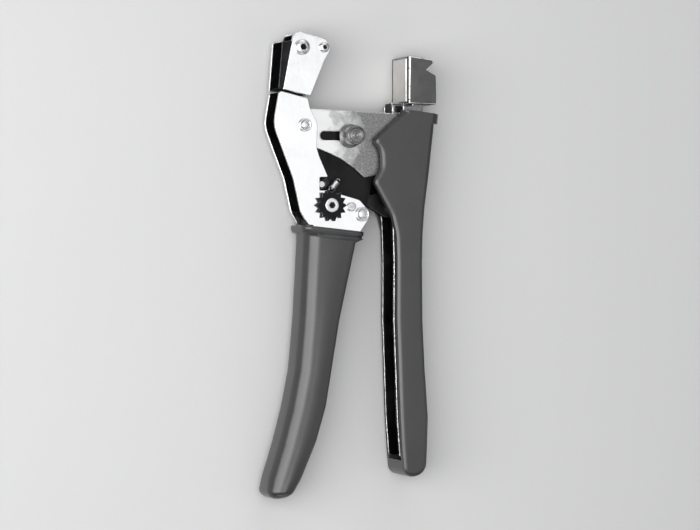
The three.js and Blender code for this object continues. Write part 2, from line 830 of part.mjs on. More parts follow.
function makePawl() {
  const shape = rounded([
    [...pawlPoint(pawlReach, 0), 0.3],
    [...pawlPoint(pawlReach - 1.6, 1.3), 0.5],
    [...pawlPoint(1, 2.9), 2],
    [...pawlPoint(-2.9, 2.6), 2.2],
    [...pawlPoint(-2.9, -2.6), 2.2],
    [...pawlPoint(1, -2.9), 2],
    [...pawlPoint(pawlReach - 1.6, -1.3), 0.5],
  ]);
  addPart('pawl', cut(
    slab(shape, -bladeHalf, bladeHalf),
    fastenerHole(pawlPivot, pawlPinRadius),
  ), blackSteel);
  addPart('pawl_lever', cut(
    slab(rounded([
      [...pawlPoint(3.6, 1.5), 1.2],
      [...pawlPoint(-2, 2.1), 1.8],
      [...pawlPoint(-2, -2.1), 1.8],
      [...pawlPoint(3.6, -1.5), 1.2],
    ]), coreOuter + fit, plateInner - fit),
    fastenerHole(pawlPivot, pawlPinRadius),
  ), blackSteel);
  addPart('pawl_pin', rod(pawlPivot, pawlPinRadius, -coreOuter, plateInner - fit), zincSteel);
}

const pawlSpringStart = { x: -10.1, y: 33.2 };
const pawlSpringEnd = { x: -6.4, y: 37.6 };
const pawlSpringCoilRadius = 1.45;
const pawlSpringCoreRadius = 1.05;
const pawlSpringTurns = 7;

// A row of short rings on a thinner core stands for the wound wire.
function makePawlSpring() {
  const height = midPlane + plateInner;
  const from = new THREE.Vector3(pawlSpringStart.x, pawlSpringStart.y, height);
  const to = new THREE.Vector3(pawlSpringEnd.x, pawlSpringEnd.y, height);
  const along = to.clone().sub(from);
  const rings = [];
  for (let i = 0; i < pawlSpringTurns; i += 1) {
    const a = from.clone().addScaledVector(along, (i + 0.12) / pawlSpringTurns);
    const b = from.clone().addScaledVector(along, (i + 0.88) / pawlSpringTurns);
    rings.push(bar(a.toArray(), b.toArray(), pawlSpringCoilRadius, 10));
  }
  const core = bar(from.toArray(), to.toArray(), pawlSpringCoreRadius, 8);
  addPart('pawl_spring', join(core, ...rings), springSteel);
}

// ---------------------------------------------------------------- edges of the moving handle

// Left and right edges of the cover at shares of the handle's length below its top.
const handleStations = [
  { down: 0.033, left: 20.8, right: 37.8 },
  { down: 0.18, left: 9.9, right: 35.1 },
  { down: 0.265, left: 16.6, right: 33.3 },
  { down: 0.335, left: 19.6, right: 32.5 },
  { down: 0.41, left: 20.0, right: 32.2 },
  { down: 0.575, left: 19.9, right: 32.4 },
  { down: 0.703, left: 20.7, right: 33.4 },
  { down: 0.845, left: 21.5, right: 35 },
  { down: 0.93, left: 22.3, right: 34.6 },
];

function handleY(down) {
  return handleTop - down * handleLength;
}

// The inner face of the channel's web, which closes the handle's right side.
function webFace(y) {
  const down = (handleTop - y) / handleLength;
  return edgeAt(handleStations, 'right', down) - coverThickness - fit - channelThickness;
}

// ---------------------------------------------------------------- ratchet sector on the handle

const sectorStart = 183.8;
const sectorEnd = 252;
const sectorToothStep = 2.6;
const sectorLead = 2;
const sectorPins = [{ x: 21.4, y: 25.4 }, { x: 25.6, y: 31 }];
const sectorBushRadius = 2.9;

function polar(radius, degrees) {
  const angle = THREE.MathUtils.degToRad(degrees);
  return [fulcrum.x + radius * Math.cos(angle), fulcrum.y + radius * Math.sin(angle)];
}

function makeSector() {
  const outline = [];
  const inner = sectorRadius - sectorWidth;
  const rootRadius = sectorRadius - sectorToothDepth;
  const toothedStart = sectorStart + sectorLead;
  const toothedEnd = toothedStart + sectorToothCount * sectorToothStep;
  for (let angle = sectorEnd; angle > sectorStart; angle -= 5) outline.push(polar(inner, angle));
  outline.push(polar(inner, sectorStart), polar(rootRadius, sectorStart));
  outline.push(polar(rootRadius, toothedStart));
  for (let i = 0; i < sectorToothCount; i += 1) {
    const angle = toothedStart + i * sectorToothStep;
    outline.push(polar(sectorRadius, angle + sectorToothStep / 2));
    outline.push(polar(rootRadius, angle + sectorToothStep));
  }
  for (let angle = toothedEnd + 3; angle < sectorEnd; angle += 5) {
    outline.push(polar(rootRadius, angle));
  }
  const arc = new THREE.Shape(outline.map(([x, y]) => new THREE.Vector2(x, y)));
  const root = rounded([
    [...polar(inner, 236)],
    [...polar(rootRadius, 240)],
    [17.6, 21.6, 2],
    [23.4, 21.6, 3],
    [webFace(30.4) - 0.1, 30.4, 3],
    [webFace(34.6) - 2.6, 34.6, 3],
    [20, 34, 2],
  ]);
  addPart('ratchet_sector', cut(
    join(slab(arc, -bladeHalf, bladeHalf), slab(root, -bladeHalf, bladeHalf)),
    ...sectorPins.map((pin) => fastenerHole(pin, sectorPinRadius)),
  ), blackSteel);
  sectorPins.forEach((pin, i) => {
    addPart(`sector_pin_${i + 1}`, rod(pin, sectorPinRadius, -channelOuter, channelOuter, 20), zincSteel);
    onBothFaces((face, layer) => {
      const [low, high] = layer(bladeHalf + fit, plateInner - fit);
      addPart(`${face}_sector_bush_${i + 1}`, cut(
        rod(pin, sectorBushRadius, low, high, 20), fastenerHole(pin, sectorPinRadius)), zincSteel);
    });
  });
}

// ---------------------------------------------------------------- the moving handle

const coverBevel = 2;
const coverEndShare = 0.965;
const coverCollar = { left: 22.2, right: 40.6, leftRise: 1.7, rightRise: -0.2 };
const coverCollarHeight = 4.4;
const channelEndShare = 0.955;
const pastEndShare = 1.1;
const pastTop = 90;
const topRight = 39.6;
const webTop = 52;
const channelProud = 0.6;

function handleRight(inset) {
  return handleStations.map(({ down, right }) => [right - inset, handleY(down), 12]);
}

function handleLeftLower(inset) {
  return handleStations.slice(3).map(({ down, left }) => [left + inset, handleY(down), 12]).reverse();
}

// Left edge of the upper part: the arc past the jaw plate and the slanted shoulder above it.
function handleLeftUpper(inset) {
  return [
    [17.6 + inset, 22, 10],
    [9 + inset, 37, 3],
    [12.9 + inset, 43.2, 7],
    [12.7 + inset, 50.6, 7],
    [8.9 + inset, 55.4, 2.6],
    [24.6 + inset, 69.4, 2.6],
  ];
}

function coverShape() {
  return rounded([
    ...handleRight(0),
    [34, handleY(1) - 1, 7],
    [23.4, handleY(1) - 2.2, 4.5],
    ...handleLeftLower(0),
    ...handleLeftUpper(0),
    [38.6, 68],
  ]);
}

function makeCover() {
  const body = slab(coverShape(), -halfDepth, halfDepth, coverBevel, coverBevel, 3);
  const collar = collarBand(
    { x: coverCollar.left, y: handleTop + coverCollar.leftRise },
    { x: coverCollar.right, y: handleTop + coverCollar.rightRise },
    coverCollarHeight);
  const inside = slab(rounded([
    ...handleRight(coverThickness),
    [32.2, handleY(coverEndShare), 3],
    [0, handleY(coverEndShare)],
    [0, pastTop],
    [topRight - coverThickness, pastTop],
  ]), -coverInner, coverInner);
  const backSlot = block(30, 50, webTop + 2, pastTop, -coverInner, coverInner);
  addPart('handle_cover', cut(join(body, collar), inside, backSlot), gripPlastic);
}

function makeChannel() {
  const side = coverThickness + fit;
  const wallShape = rounded([
    ...handleRight(side),
    [31.4, handleY(channelEndShare), 2],
    [22.2, handleY(channelEndShare), 1],
    ...handleLeftLower(-channelProud).slice(1),
    ...handleLeftUpper(2 * channelProud),
    [36, handleTop, 1],
  ]);
  const inside = slab(rounded([
    ...handleRight(side + channelThickness),
    [31, handleY(pastEndShare)],
    [0, handleY(pastEndShare)],
    [0, pastTop],
    [topRight - side - channelThickness, pastTop],
  ]), -plateInner, plateInner);
  const backSlot = block(30, 50, webTop, pastTop, -plateInner, plateInner);
  addPart('handle_channel', cut(
    slab(wallShape, -channelOuter, channelOuter),
    inside,
    backSlot,
    fastenerHole(fulcrum, fulcrumRadius),
    fastenerHole(drivePin, drivePinRadius),
    ...sectorPins.map((pin) => fastenerHole(pin, sectorPinRadius)),
  ), chrome);
}

// ---------------------------------------------------------------- pins and the return spring

const fulcrumWaist = fulcrumRadius - 0.6;

function makePins() {
  const shoulder = coreOuter + fit;
  addPart('fulcrum_pin', turned(fulcrum, [
    [0, -channelOuter],
    [fulcrumRadius, -channelOuter],
    [fulcrumRadius, -shoulder],
    [fulcrumWaist, -shoulder],
    [fulcrumWaist, shoulder],
    [fulcrumRadius, shoulder],
    [fulcrumRadius, channelOuter],
    [0, channelOuter],
  ]), zincSteel);
  addPart('drive_pin', rod(drivePin, drivePinRadius, -channelOuter, channelOuter), zincSteel);
}

const springWire = 0.5;
const springTurns = 3;
const springLegLength = 13;

// A ribbed sleeve round the fulcrum pin stands for the turns, with one straight leg.
function makeReturnSpring() {
  const inner = fulcrumRadius;
  const half = coreInner - fit;
  const step = (2 * half) / springTurns;
  const profile = [[inner, -half]];
  for (let i = 0; i < springTurns; i += 1) {
    const base = -half + i * step;
    profile.push([inner + springWire * 0.6, base], [inner + 2 * springWire, base + step * 0.3]);
    profile.push([inner + 2 * springWire, base + step * 0.7], [inner + springWire * 0.6, base + step]);
  }
  profile.push([inner, half], [inner, -half]);
  const coil = turned(fulcrum, profile);
  const legBottom = fulcrum.y + inner + 0.2;
  const leg = block(
    fulcrum.x - springLegLength, fulcrum.x, legBottom, legBottom + 0.7, -0.4, 0.4);
  addPart('return_spring', join(coil, leg), springSteel);
}

makeFrame();
makeSpine();
makeHeadBlock();
makeScrewAndNut('large_head', largeScrew, largeScrewRadius, largeScrewHeadRadius);
makeScrewAndNut('small_head', smallScrew, smallScrewRadius, smallScrewHeadRadius);
makeRivet('upper_rivet', upperRivet, rivetHeadRadius);
makeRivet('lower_rivet', lowerRivet, lowerRivetHeadRadius);
makeCore();
makeGrip();
makeJaw();
makeJawBlock();
makeDie();
makeGuide();
makeAdjuster();
makePawl();
makePawlSpring();
makeSector();
makeCover();
makeChannel();
makePins();
makeReturnSpring();

// The origin is under the middle of the whole tool.
const extent = new THREE.Box3().setFromObject(group);
group.position.set(-(extent.min.x + extent.max.x) / 2, -(extent.min.y + extent.max.y) / 2, -extent.min.z);

export default group;
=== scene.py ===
# %% [markdown]
# # A press tool for network jacks
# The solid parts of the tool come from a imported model: plates, pins, handles and the sliding jaw.
# This notebook gives each of them its finish, rebuilds the turned, wound and moulded pieces with
# finer meshes, and lights the tool as it lies flat on a pale table.
# Each piece is placed from its solid's box, so nothing here has to be moved into place by eye.

# %% Load the model and keep its box
import json
import math

import bmesh
import bpy
import numpy as np
from mathutils import Matrix, Vector


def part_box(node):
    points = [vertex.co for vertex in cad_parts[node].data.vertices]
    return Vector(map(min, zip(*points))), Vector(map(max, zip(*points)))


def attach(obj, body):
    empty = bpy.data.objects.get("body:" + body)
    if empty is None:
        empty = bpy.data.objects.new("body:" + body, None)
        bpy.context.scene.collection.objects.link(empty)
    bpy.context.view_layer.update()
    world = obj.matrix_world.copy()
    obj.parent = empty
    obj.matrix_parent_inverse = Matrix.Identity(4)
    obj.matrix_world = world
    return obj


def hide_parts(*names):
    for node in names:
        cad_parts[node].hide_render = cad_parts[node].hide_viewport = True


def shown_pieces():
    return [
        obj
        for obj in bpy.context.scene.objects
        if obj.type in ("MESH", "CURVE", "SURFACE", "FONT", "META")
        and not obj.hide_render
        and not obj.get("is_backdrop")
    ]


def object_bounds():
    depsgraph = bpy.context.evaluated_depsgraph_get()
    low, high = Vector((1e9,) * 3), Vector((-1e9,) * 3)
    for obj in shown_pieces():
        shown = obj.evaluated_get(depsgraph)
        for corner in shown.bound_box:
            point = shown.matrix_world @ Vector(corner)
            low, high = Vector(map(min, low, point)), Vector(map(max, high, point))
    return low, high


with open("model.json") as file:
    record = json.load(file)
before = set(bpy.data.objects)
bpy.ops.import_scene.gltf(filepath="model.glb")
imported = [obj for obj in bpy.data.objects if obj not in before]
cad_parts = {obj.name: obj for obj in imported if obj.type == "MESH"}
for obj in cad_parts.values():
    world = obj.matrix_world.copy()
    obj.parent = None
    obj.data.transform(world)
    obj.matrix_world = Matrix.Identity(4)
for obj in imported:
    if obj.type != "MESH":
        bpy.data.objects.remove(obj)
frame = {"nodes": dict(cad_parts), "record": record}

cad_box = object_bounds()
nodes = frame["nodes"]
MM = 0.001
print(len(nodes), "parts,", [round(1000 * v, 1) for v in cad_box[1] - cad_box[0]], "mm")

# %% [markdown]
# ## The viewpoint
# The tool is seen from above, from about 20 degrees to its left, so the left flank of every part
# shows beside its face. A short lens close by would make the near end larger than the far one. A
# long lens further away keeps parallel edges parallel, which suits a flat tool.

# %% Camera
CAMERA_LEAN = math.radians(20)
CAMERA_DISTANCE = 1.1
FRAME_WIDTH = 0.311
SENSOR = 36.0

centre = (cad_box[0] + cad_box[1]) / 2
to_camera = Vector((-math.sin(CAMERA_LEAN), 0, math.cos(CAMERA_LEAN)))
side = Vector((math.cos(CAMERA_LEAN), 0, math.sin(CAMERA_LEAN)))
up = Vector((0, 1, 0))

camera_data = bpy.data.cameras.new("camera")
camera_data.sensor_width = SENSOR
camera_data.lens = SENSOR * CAMERA_DISTANCE / FRAME_WIDTH
camera = bpy.data.objects.new("camera", camera_data)
turn = Matrix((side, up, to_camera)).transposed().to_4x4()
camera.matrix_world = Matrix.Translation(centre + CAMERA_DISTANCE * to_camera) @ turn
bpy.context.scene.collection.objects.link(camera)
bpy.context.scene.camera = camera
print("lens", round(camera_data.lens), "mm")

# %% [markdown]
# ## Table and light
# Polished metal shows what is around it, so the lights are large soft panels rather than lamps.
# One panel sits where the flat faces mirror it towards the camera and turns them white. A second,
# high on the left, draws the bright band along the rounded edges of the handles. The low ones
# only lift the bevels, so recesses and blackened parts stay dark, and the far one keeps the
# plates silvery when the tool is seen from its handles.

# %% Table top
TABLE_SIZE = 6.0
bpy.ops.mesh.primitive_plane_add(size=TABLE_SIZE, location=(0, 0, 0))
table_top = bpy.context.object
table_top.name = "table_top"
table_top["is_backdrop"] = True
print("table", TABLE_SIZE, "m square")


# %% Light panels
def panel(name, direction, distance, size, power):
    """A rectangle that faces the tool: direction from the tool, metres away, metres, watts."""
    data = bpy.data.lights.new(name, "AREA")
    data.shape = "RECTANGLE"
    data.size, data.size_y = size
    data.energy = power
    light = bpy.data.objects.new(name, data)
    aim = Vector(direction).normalized()
    light.location = centre + distance * aim
    light.rotation_mode = "QUATERNION"
    light.rotation_quaternion = aim.to_track_quat("Z", "Y")
    bpy.context.scene.collection.objects.link(light)


panel("mirror_panel", (0.062, 0.0, 1.0), 0.95, (0.50, 1.1), 1.75)
panel("left_panel", (-0.60, 0.0, 0.80), 0.9, (0.60, 1.3), 13.0)
panel("top_fill", (0.1, 1.0, 0.42), 1.1, (0.9, 0.25), 3.0)
panel("bottom_fill", (0.1, -1.0, 0.34), 1.2, (0.9, 0.22), 2.4)
panel("right_fill", (1.0, -0.3, 0.55), 1.2, (0.5, 0.9), 1.2)
panel("far_panel", (0.0, 0.52, 0.85), 1.6, (1.3, 0.9), 2.4)
print(len(bpy.data.lights), "light panels")

# %% The room around: a dim, slightly cool grey
ROOM_COLOUR = (0.72, 0.74, 0.78, 1)
ROOM_STRENGTH = 0.24
world = bpy.data.worlds.new("room")
world.use_nodes = True
backdrop = world.node_tree.nodes["Background"]
backdrop.inputs["Color"].default_value = ROOM_COLOUR
backdrop.inputs["Strength"].default_value = ROOM_STRENGTH
bpy.context.scene.world = world
bpy.context.scene.view_settings.view_transform = "Standard"
print("room strength", ROOM_STRENGTH)

# %% [markdown]
# ## Effects that several finishes share
# Scratches, grain, smudges and worn edges turn up on more than one material. On the jaw plates, the
# knob and the channel the edge mask also paints a highlight along the edges. Each is a node group
# built once, with its strength and scale as inputs, and each hands back a value, a mask or a
# normal. Building them anew in every material would repeat the same nodes many times.

# %% A helper that builds a group
FLOAT = "NodeSocketFloat"
VECTOR = "NodeSocketVector"


def new_group(name, inputs, outputs):
    tree = bpy.data.node_groups.new(name, "ShaderNodeTree")
    for label, kind, value in inputs:
        socket = tree.interface.new_socket(label, in_out="INPUT", socket_type=kind)
        socket.default_value = value
    for label, kind in outputs:
        tree.interface.new_socket(label, in_out="OUTPUT", socket_type=kind)
    start = tree.nodes.new("NodeGroupInput")
    end = tree.nodes.new("NodeGroupOutput")
    print("group", name)
    return tree, start.outputs, end.inputs


# %% Helpers that add a node
def add(tree, kind, links=None, **settings):
    """One node: settings are its properties, links are its inputs by name or number."""
    node = tree.nodes.new(kind)
    for name, value in settings.items():
        setattr(node, name, value)
    for name, value in (links or {}).items():
        if isinstance(value, bpy.types.NodeSocket):
            tree.links.new(value, node.inputs[name])
        else:
            node.inputs[name].default_value = value
    return node


def maths(tree, operation, a, b=0.0):
    return add(tree, "ShaderNodeMath", {0: a, 1: b}, operation=operation).outputs[0]


def vector_maths(tree, operation, a, b=(0, 0, 0)):
    return add(tree, "ShaderNodeVectorMath", {0: a, 1: b}, operation=operation).outputs


def ramp(tree, value, low, high, to_low=0.0, to_high=1.0):
    node = add(tree, "ShaderNodeMapRange", {
        "Value": value, "From Min": low, "From Max": high, "To Min": to_low, "To Max": to_high})
    return node.outputs["Result"]


def place_on(tree):
    """Where a point lies on its own object, in metres."""
    return add(tree, "ShaderNodeTexCoord").outputs["Object"]


# %% Grain: fine noise, stretched along one direction for brushed or rolled metal
grain, given, result = new_group(
    "grain",
    [("Scale", FLOAT, 1.0), ("Stretch", VECTOR, (1, 1, 1)), ("Detail", FLOAT, 3.0)],
    [("Height", FLOAT), ("Mask", FLOAT)])
stretched = vector_maths(grain, "MULTIPLY", place_on(grain), given["Stretch"])[0]
noise = add(grain, "ShaderNodeTexNoise", {
    "Vector": stretched, "Scale": given["Scale"], "Detail": given["Detail"]})
grain.links.new(noise.outputs["Fac"], result["Height"])
grain.links.new(ramp(grain, noise.outputs["Fac"], 0.35, 0.65), result["Mask"])

# %% Smudge: broad soft patches, for handling marks and uneven polish
smudge, given, result = new_group(
    "smudge", [("Size", FLOAT, 60.0), ("Contrast", FLOAT, 0.2)], [("Mask", FLOAT)])
broad = add(smudge, "ShaderNodeTexNoise", {
    "Vector": place_on(smudge), "Scale": given["Size"],
    "Detail": 4.0, "Roughness": 0.6, "Distortion": 0.6})
low = maths(smudge, "SUBTRACT", 0.5, given["Contrast"])
high = maths(smudge, "ADD", 0.5, given["Contrast"])
smudge.links.new(ramp(smudge, broad.outputs["Fac"], low, high), result["Mask"])


# %% Chips: noise that breaks a mask up, so wear isn't an even line
def chips(tree, breakup, low, high):
    spots = add(tree, "ShaderNodeTexNoise", {
        "Vector": place_on(tree), "Scale": breakup, "Detail": 3.0})
    return ramp(tree, spots.outputs["Fac"], low, high)


# %% Edge wear, and on some finishes a painted edge highlight: where the rounded normal leaves the true one, an edge is near
edge_wear_and_highlight, given, result = new_group(
    "edge_wear_and_painted_highlight",
    [("Width", FLOAT, 0.0004), ("Breakup", FLOAT, 900.0), ("Amount", FLOAT, 0.6)],
    [("Mask", FLOAT), ("Normal", VECTOR)])
soft = add(edge_wear_and_highlight, "ShaderNodeBevel", {"Radius": given["Width"]}, samples=6).outputs[0]
true = add(edge_wear_and_highlight, "ShaderNodeNewGeometry").outputs["Normal"]
agreement = vector_maths(edge_wear_and_highlight, "DOT_PRODUCT", soft, true)["Value"]
edge = ramp(edge_wear_and_highlight, agreement, 0.995, 0.86)
broken = maths(edge_wear_and_highlight, "MULTIPLY", edge, chips(edge_wear_and_highlight, given["Breakup"], 0.3, 0.6))
edge_wear_and_highlight.links.new(maths(edge_wear_and_highlight, "MULTIPLY", broken, given["Amount"]), result["Mask"])
edge_wear_and_highlight.links.new(soft, result["Normal"])

# %% Turned rings: fine circles about an axis, left by a lathe tool
rings, given, result = new_group(
    "turned_rings", [("Centre", VECTOR, (0, 0, 0)), ("Pitch", FLOAT, 0.0004)], [("Height", FLOAT)])
offset = vector_maths(rings, "SUBTRACT", place_on(rings), given["Centre"])[0]
flat = vector_maths(rings, "MULTIPLY", offset, (1, 1, 0))[0]
radius = vector_maths(rings, "LENGTH", flat)["Value"]
turns = maths(rings, "DIVIDE", radius, given["Pitch"])
wave = maths(rings, "SINE", maths(rings, "MULTIPLY", turns, 2 * math.pi))
rings.links.new(wave, result["Height"])

# %% Slanted faces: neither flat nor upright, so they are the bevels and chamfers of a block
slants, given, result = new_group(
    "slanted_faces", [("Sharpness", FLOAT, 0.97), ("Breakup", FLOAT, 700.0)], [("Mask", FLOAT)])
facing = add(slants, "ShaderNodeTexCoord").outputs["Normal"]
shares = vector_maths(slants, "ABSOLUTE", facing)[0]
shares = add(slants, "ShaderNodeSeparateXYZ", {0: shares}).outputs
largest = maths(slants, "MAXIMUM", maths(slants, "MAXIMUM", shares[0], shares[1]), shares[2])
slanted = ramp(slants, largest, given["Sharpness"], 0.90)
kept = chips(slants, given["Breakup"], 0.30, 0.42)
slants.links.new(maths(slants, "MULTIPLY", slanted, kept), result["Mask"])

# %% [markdown]
# ## Finishes
# A finish is a Principled shader with the effects above feeding its colour, roughness and bump.
# What is the same all over a part, such as its metal or its coat, is set on the shader itself.


# %% Helpers that start a material and feed it
def new_finish(name, colour, roughness, metallic, **sockets):
    material = bpy.data.materials.new(name)
    material.use_nodes = True
    tree = material.node_tree
    shader = tree.nodes["Principled BSDF"]
    shader.inputs["Base Color"].default_value = (*colour, 1)
    shader.inputs["Roughness"].default_value = roughness
    shader.inputs["Metallic"].default_value = metallic
    for label, value in sockets.items():
        shader.inputs[label.replace("_", " ")].default_value = value
    print("finish", name)
    return material, tree, shader


def effect(tree, group, **values):
    node = tree.nodes.new("ShaderNodeGroup")
    node.node_tree = group
    for label, value in values.items():
        node.inputs[label].default_value = value
    return node.outputs


def bump(tree, shader, height, distance, strength, normal):
    node = add(tree, "ShaderNodeBump", {
        "Height": height, "Distance": distance, "Strength": strength, "Normal": normal})
    tree.links.new(node.outputs["Normal"], shader.inputs["Normal"])


def mix_colours(tree, mask, a, b):
    node = add(tree, "ShaderNodeMix", {0: mask}, data_type="RGBA")
    for index, value in ((6, a), (7, b)):
        if isinstance(value, bpy.types.NodeSocket):
            tree.links.new(value, node.inputs[index])
        else:
            node.inputs[index].default_value = (*value, 1)
    return node.outputs[2]


# %% [markdown]
# ### Plated steel
# The arm's plates are polished and chromed, the fasteners are zinc-plated, and the die and the
# springs are plain bright steel. All four are the same thing at other settings: a metal whose
# polish varies in broad patches, with fine brush lines and brighter edges. One function makes them.

# %% Chrome, zinc plate, die steel and spring steel
RUBBED_EDGE = (0.95, 0.95, 0.95)
BRUSH_DULLING = 0.06


def plated(name, colour, dull, roughness, brush_scale, brush_stretch, brush_depth,
           edge_width=0.0003):
    """roughness goes from its first value to its second where the polish is dull."""
    polished, unpolished = roughness
    material, tree, shader = new_finish(name, colour, polished, 1.0)
    patches = effect(tree, smudge, Size=55.0, Contrast=0.22)["Mask"]
    lines = effect(tree, grain, Scale=brush_scale, Stretch=brush_stretch, Detail=4.0)
    edges = effect(tree, edge_wear_and_highlight, Width=edge_width, Amount=0.35)
    tone = mix_colours(tree, patches, colour, dull)
    tone = mix_colours(tree, edges["Mask"], tone, RUBBED_EDGE)
    tree.links.new(tone, shader.inputs["Base Color"])
    spread = ramp(tree, patches, 0.0, 1.0, polished, unpolished)
    fine = maths(tree, "MULTIPLY", lines["Mask"], BRUSH_DULLING)
    tree.links.new(maths(tree, "ADD", spread, fine), shader.inputs["Roughness"])
    bump(tree, shader, lines["Height"], brush_depth, 0.6, edges["Normal"])
    return material


chrome = plated("chrome", (0.86, 0.865, 0.87), (0.78, 0.785, 0.79), (0.09, 0.17),
                700.0, (1, 0.25, 1), 0.000006)
zinc_plate = plated("zinc_plate", (0.70, 0.70, 0.705), (0.56, 0.56, 0.57), (0.30, 0.42),
                    1100.0, (1, 1, 1), 0.00001, 0.00015)
die_steel = plated("die_steel", (0.80, 0.785, 0.75), (0.62, 0.605, 0.58), (0.34, 0.46),
                   900.0, (0.12, 1, 1), 0.00003)
spring_steel = plated("spring_steel", (0.42, 0.42, 0.43), (0.3, 0.3, 0.31), (0.22, 0.34),
                      900.0, (1, 1, 1), 0.000008, 0.0001)

# %% [markdown]
# ### Satin steel of the jaw plates
# The jaw plates are rolled sheet, tumbled to a mottled satin. Beside the arm they carry a painted
# highlight, near white, that falls off to a speckled grey under the handle's cover. A light alone
# can't make that step, so a mask across the plate's own width paints it, with a soft wander along
# its border.

# %% Satin steel
HIGHLIGHT_PAINTED_UNTIL = 0.31
HIGHLIGHT_GONE_FROM = 0.50
BORDER_WANDER = 10 * MM

jaw_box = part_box("front_jaw_plate")
jaw_width = jaw_box[1].x - jaw_box[0].x
satin_steel, tree, shader = new_finish("satin_steel", (0.4, 0.4, 0.4), 0.36, 1.0)
across = add(tree, "ShaderNodeSeparateXYZ", {0: place_on(tree)}).outputs[0]
patches = effect(tree, smudge, Size=130.0, Contrast=0.16)["Mask"]
shift = maths(tree, "MULTIPLY", maths(tree, "SUBTRACT", patches, 0.5), BORDER_WANDER)
# Painted highlight mask: 0 on the plate's part beside the arm, 1 where it keeps its speckled grey,
# with a soft wander along the border
painted_highlight_fade = ramp(tree, maths(tree, "ADD", across, shift),
            jaw_box[0].x + HIGHLIGHT_PAINTED_UNTIL * jaw_width, jaw_box[0].x + HIGHLIGHT_GONE_FROM * jaw_width)
speckle = effect(tree, grain, Scale=1300.0, Detail=5.0)
fine_tone = mix_colours(tree, speckle["Mask"], (0.15, 0.15, 0.15), (0.27, 0.27, 0.27))
edges = effect(tree, edge_wear_and_highlight, Width=0.0009, Amount=1.0)
# The near-white colour is the painted highlight beside the arm; the speckled grey is the plate's
# own tone
tone = mix_colours(tree, painted_highlight_fade, (0.74, 0.74, 0.74), fine_tone)
# Edge colour: wear, and a painted highlight along the plate's edges, near white at full strength
tone = mix_colours(tree, edges["Mask"], tone, (0.92, 0.92, 0.92))
tree.links.new(tone, shader.inputs["Base Color"])
tree.links.new(ramp(tree, speckle["Mask"], 0.0, 1.0, 0.32, 0.44), shader.inputs["Roughness"])
bump(tree, shader, speckle["Height"], 0.00004, 0.7, edges["Normal"])

# %% [markdown]
# ### Blackened steel
# The spine, the core plates, the wheel, the ratchet and the channel are blackened: a thin dark
# oxide that stays metallic and wears off at the edges. On the channel the near-white edges are also
# a painted highlight. A dark non-metal would turn grey where it mirrors the table at a low angle.
# A metal with a dark specular tint stays black there.

# %% Black oxide, hardened steel and the channel's steel
EDGE_TINT = (0.22, 0.22, 0.23, 1.0)
PATCH_GAIN = 1.5
PATCH_LIFT = 0.004
PATCH_DULLING = 0.14


def blackened(name, colour, bare_and_highlit_edge, roughness, edge_wear_and_highlight_amount, edge_width, texture_depth):
    material, tree, shader = new_finish(name, colour, roughness, 1.0, Specular_Tint=EDGE_TINT)
    patches = effect(tree, smudge, Size=90.0, Contrast=0.18)["Mask"]
    fine = effect(tree, grain, Scale=2200.0, Detail=3.0)
    edges = effect(tree, edge_wear_and_highlight, Width=edge_width, Amount=edge_wear_and_highlight_amount)
    paler = tuple(PATCH_GAIN * c + PATCH_LIFT for c in colour)
    tone = mix_colours(tree, patches, colour, paler)
    # Edge colour: bare steel where the oxide wears off, and on the channel's steel also a painted
    # highlight
    tree.links.new(mix_colours(tree, edges["Mask"], tone, bare_and_highlit_edge), shader.inputs["Base Color"])
    spread = ramp(tree, patches, 0.0, 1.0, roughness, roughness + PATCH_DULLING)
    tree.links.new(spread, shader.inputs["Roughness"])
    bump(tree, shader, fine["Height"], texture_depth, 0.7, edges["Normal"])
    return material


black_oxide = blackened("black_oxide", (0.011, 0.011, 0.0115), (0.45, 0.45, 0.46),
                        0.36, 0.5, 0.0004, 0.00002)
hardened_steel = blackened("hardened_steel", (0.022, 0.022, 0.0225), (0.5, 0.5, 0.5),
                           0.34, 0.6, 0.0003, 0.00001)
# The channel's edges are near white at full strength: bare-steel wear and a painted highlight along
# its walls
handle_steel = blackened("handle_steel", (0.020, 0.020, 0.021), (0.95, 0.95, 0.95),
                         0.24, 1.0, 0.0006, 0.00001)

# %% [markdown]
# ### The jaw block
# The jaw block is grey-black on its faces, with its bevels ground back to bright steel. The
# bevels could be separate faces with their own material. Here a mask finds them by the way they
# face, so it follows the solid if its bevels change.

# %% Block finish
FACE_ROUGHNESS = 0.42
GROUND_ROUGHNESS = 0.58

block_black, tree, shader = new_finish(
    "block_black", (0.10, 0.10, 0.10), FACE_ROUGHNESS, 1.0, Specular_Tint=(0.5, 0.5, 0.5, 1.0))
patches = effect(tree, smudge, Size=110.0, Contrast=0.2)["Mask"]
fine = effect(tree, grain, Scale=1900.0, Detail=3.0)
ground = effect(tree, slants, Sharpness=0.97, Breakup=420.0)["Mask"]
edges = effect(tree, edge_wear_and_highlight, Width=0.0005, Amount=0.7)
tone = mix_colours(tree, patches, (0.085, 0.085, 0.086), (0.125, 0.125, 0.126))
tone = mix_colours(tree, ground, tone, (0.86, 0.86, 0.85))
tone = mix_colours(tree, edges["Mask"], tone, (0.8, 0.8, 0.79))
tree.links.new(tone, shader.inputs["Base Color"])
spread = ramp(tree, ground, 0.0, 1.0, FACE_ROUGHNESS, GROUND_ROUGHNESS)
tree.links.new(spread, shader.inputs["Roughness"])
bump(tree, shader, fine["Height"], 0.00003, 0.7, edges["Normal"])

# %% [markdown]
# ### Turned steel of the knob
# A lathe leaves fine circles on a face. A texture could be stretched round the knob, but circles
# from the distance to the knob's own axis are exact and need no unwrapping.

# %% Turned steel
RING_PITCH = 0.35 * MM

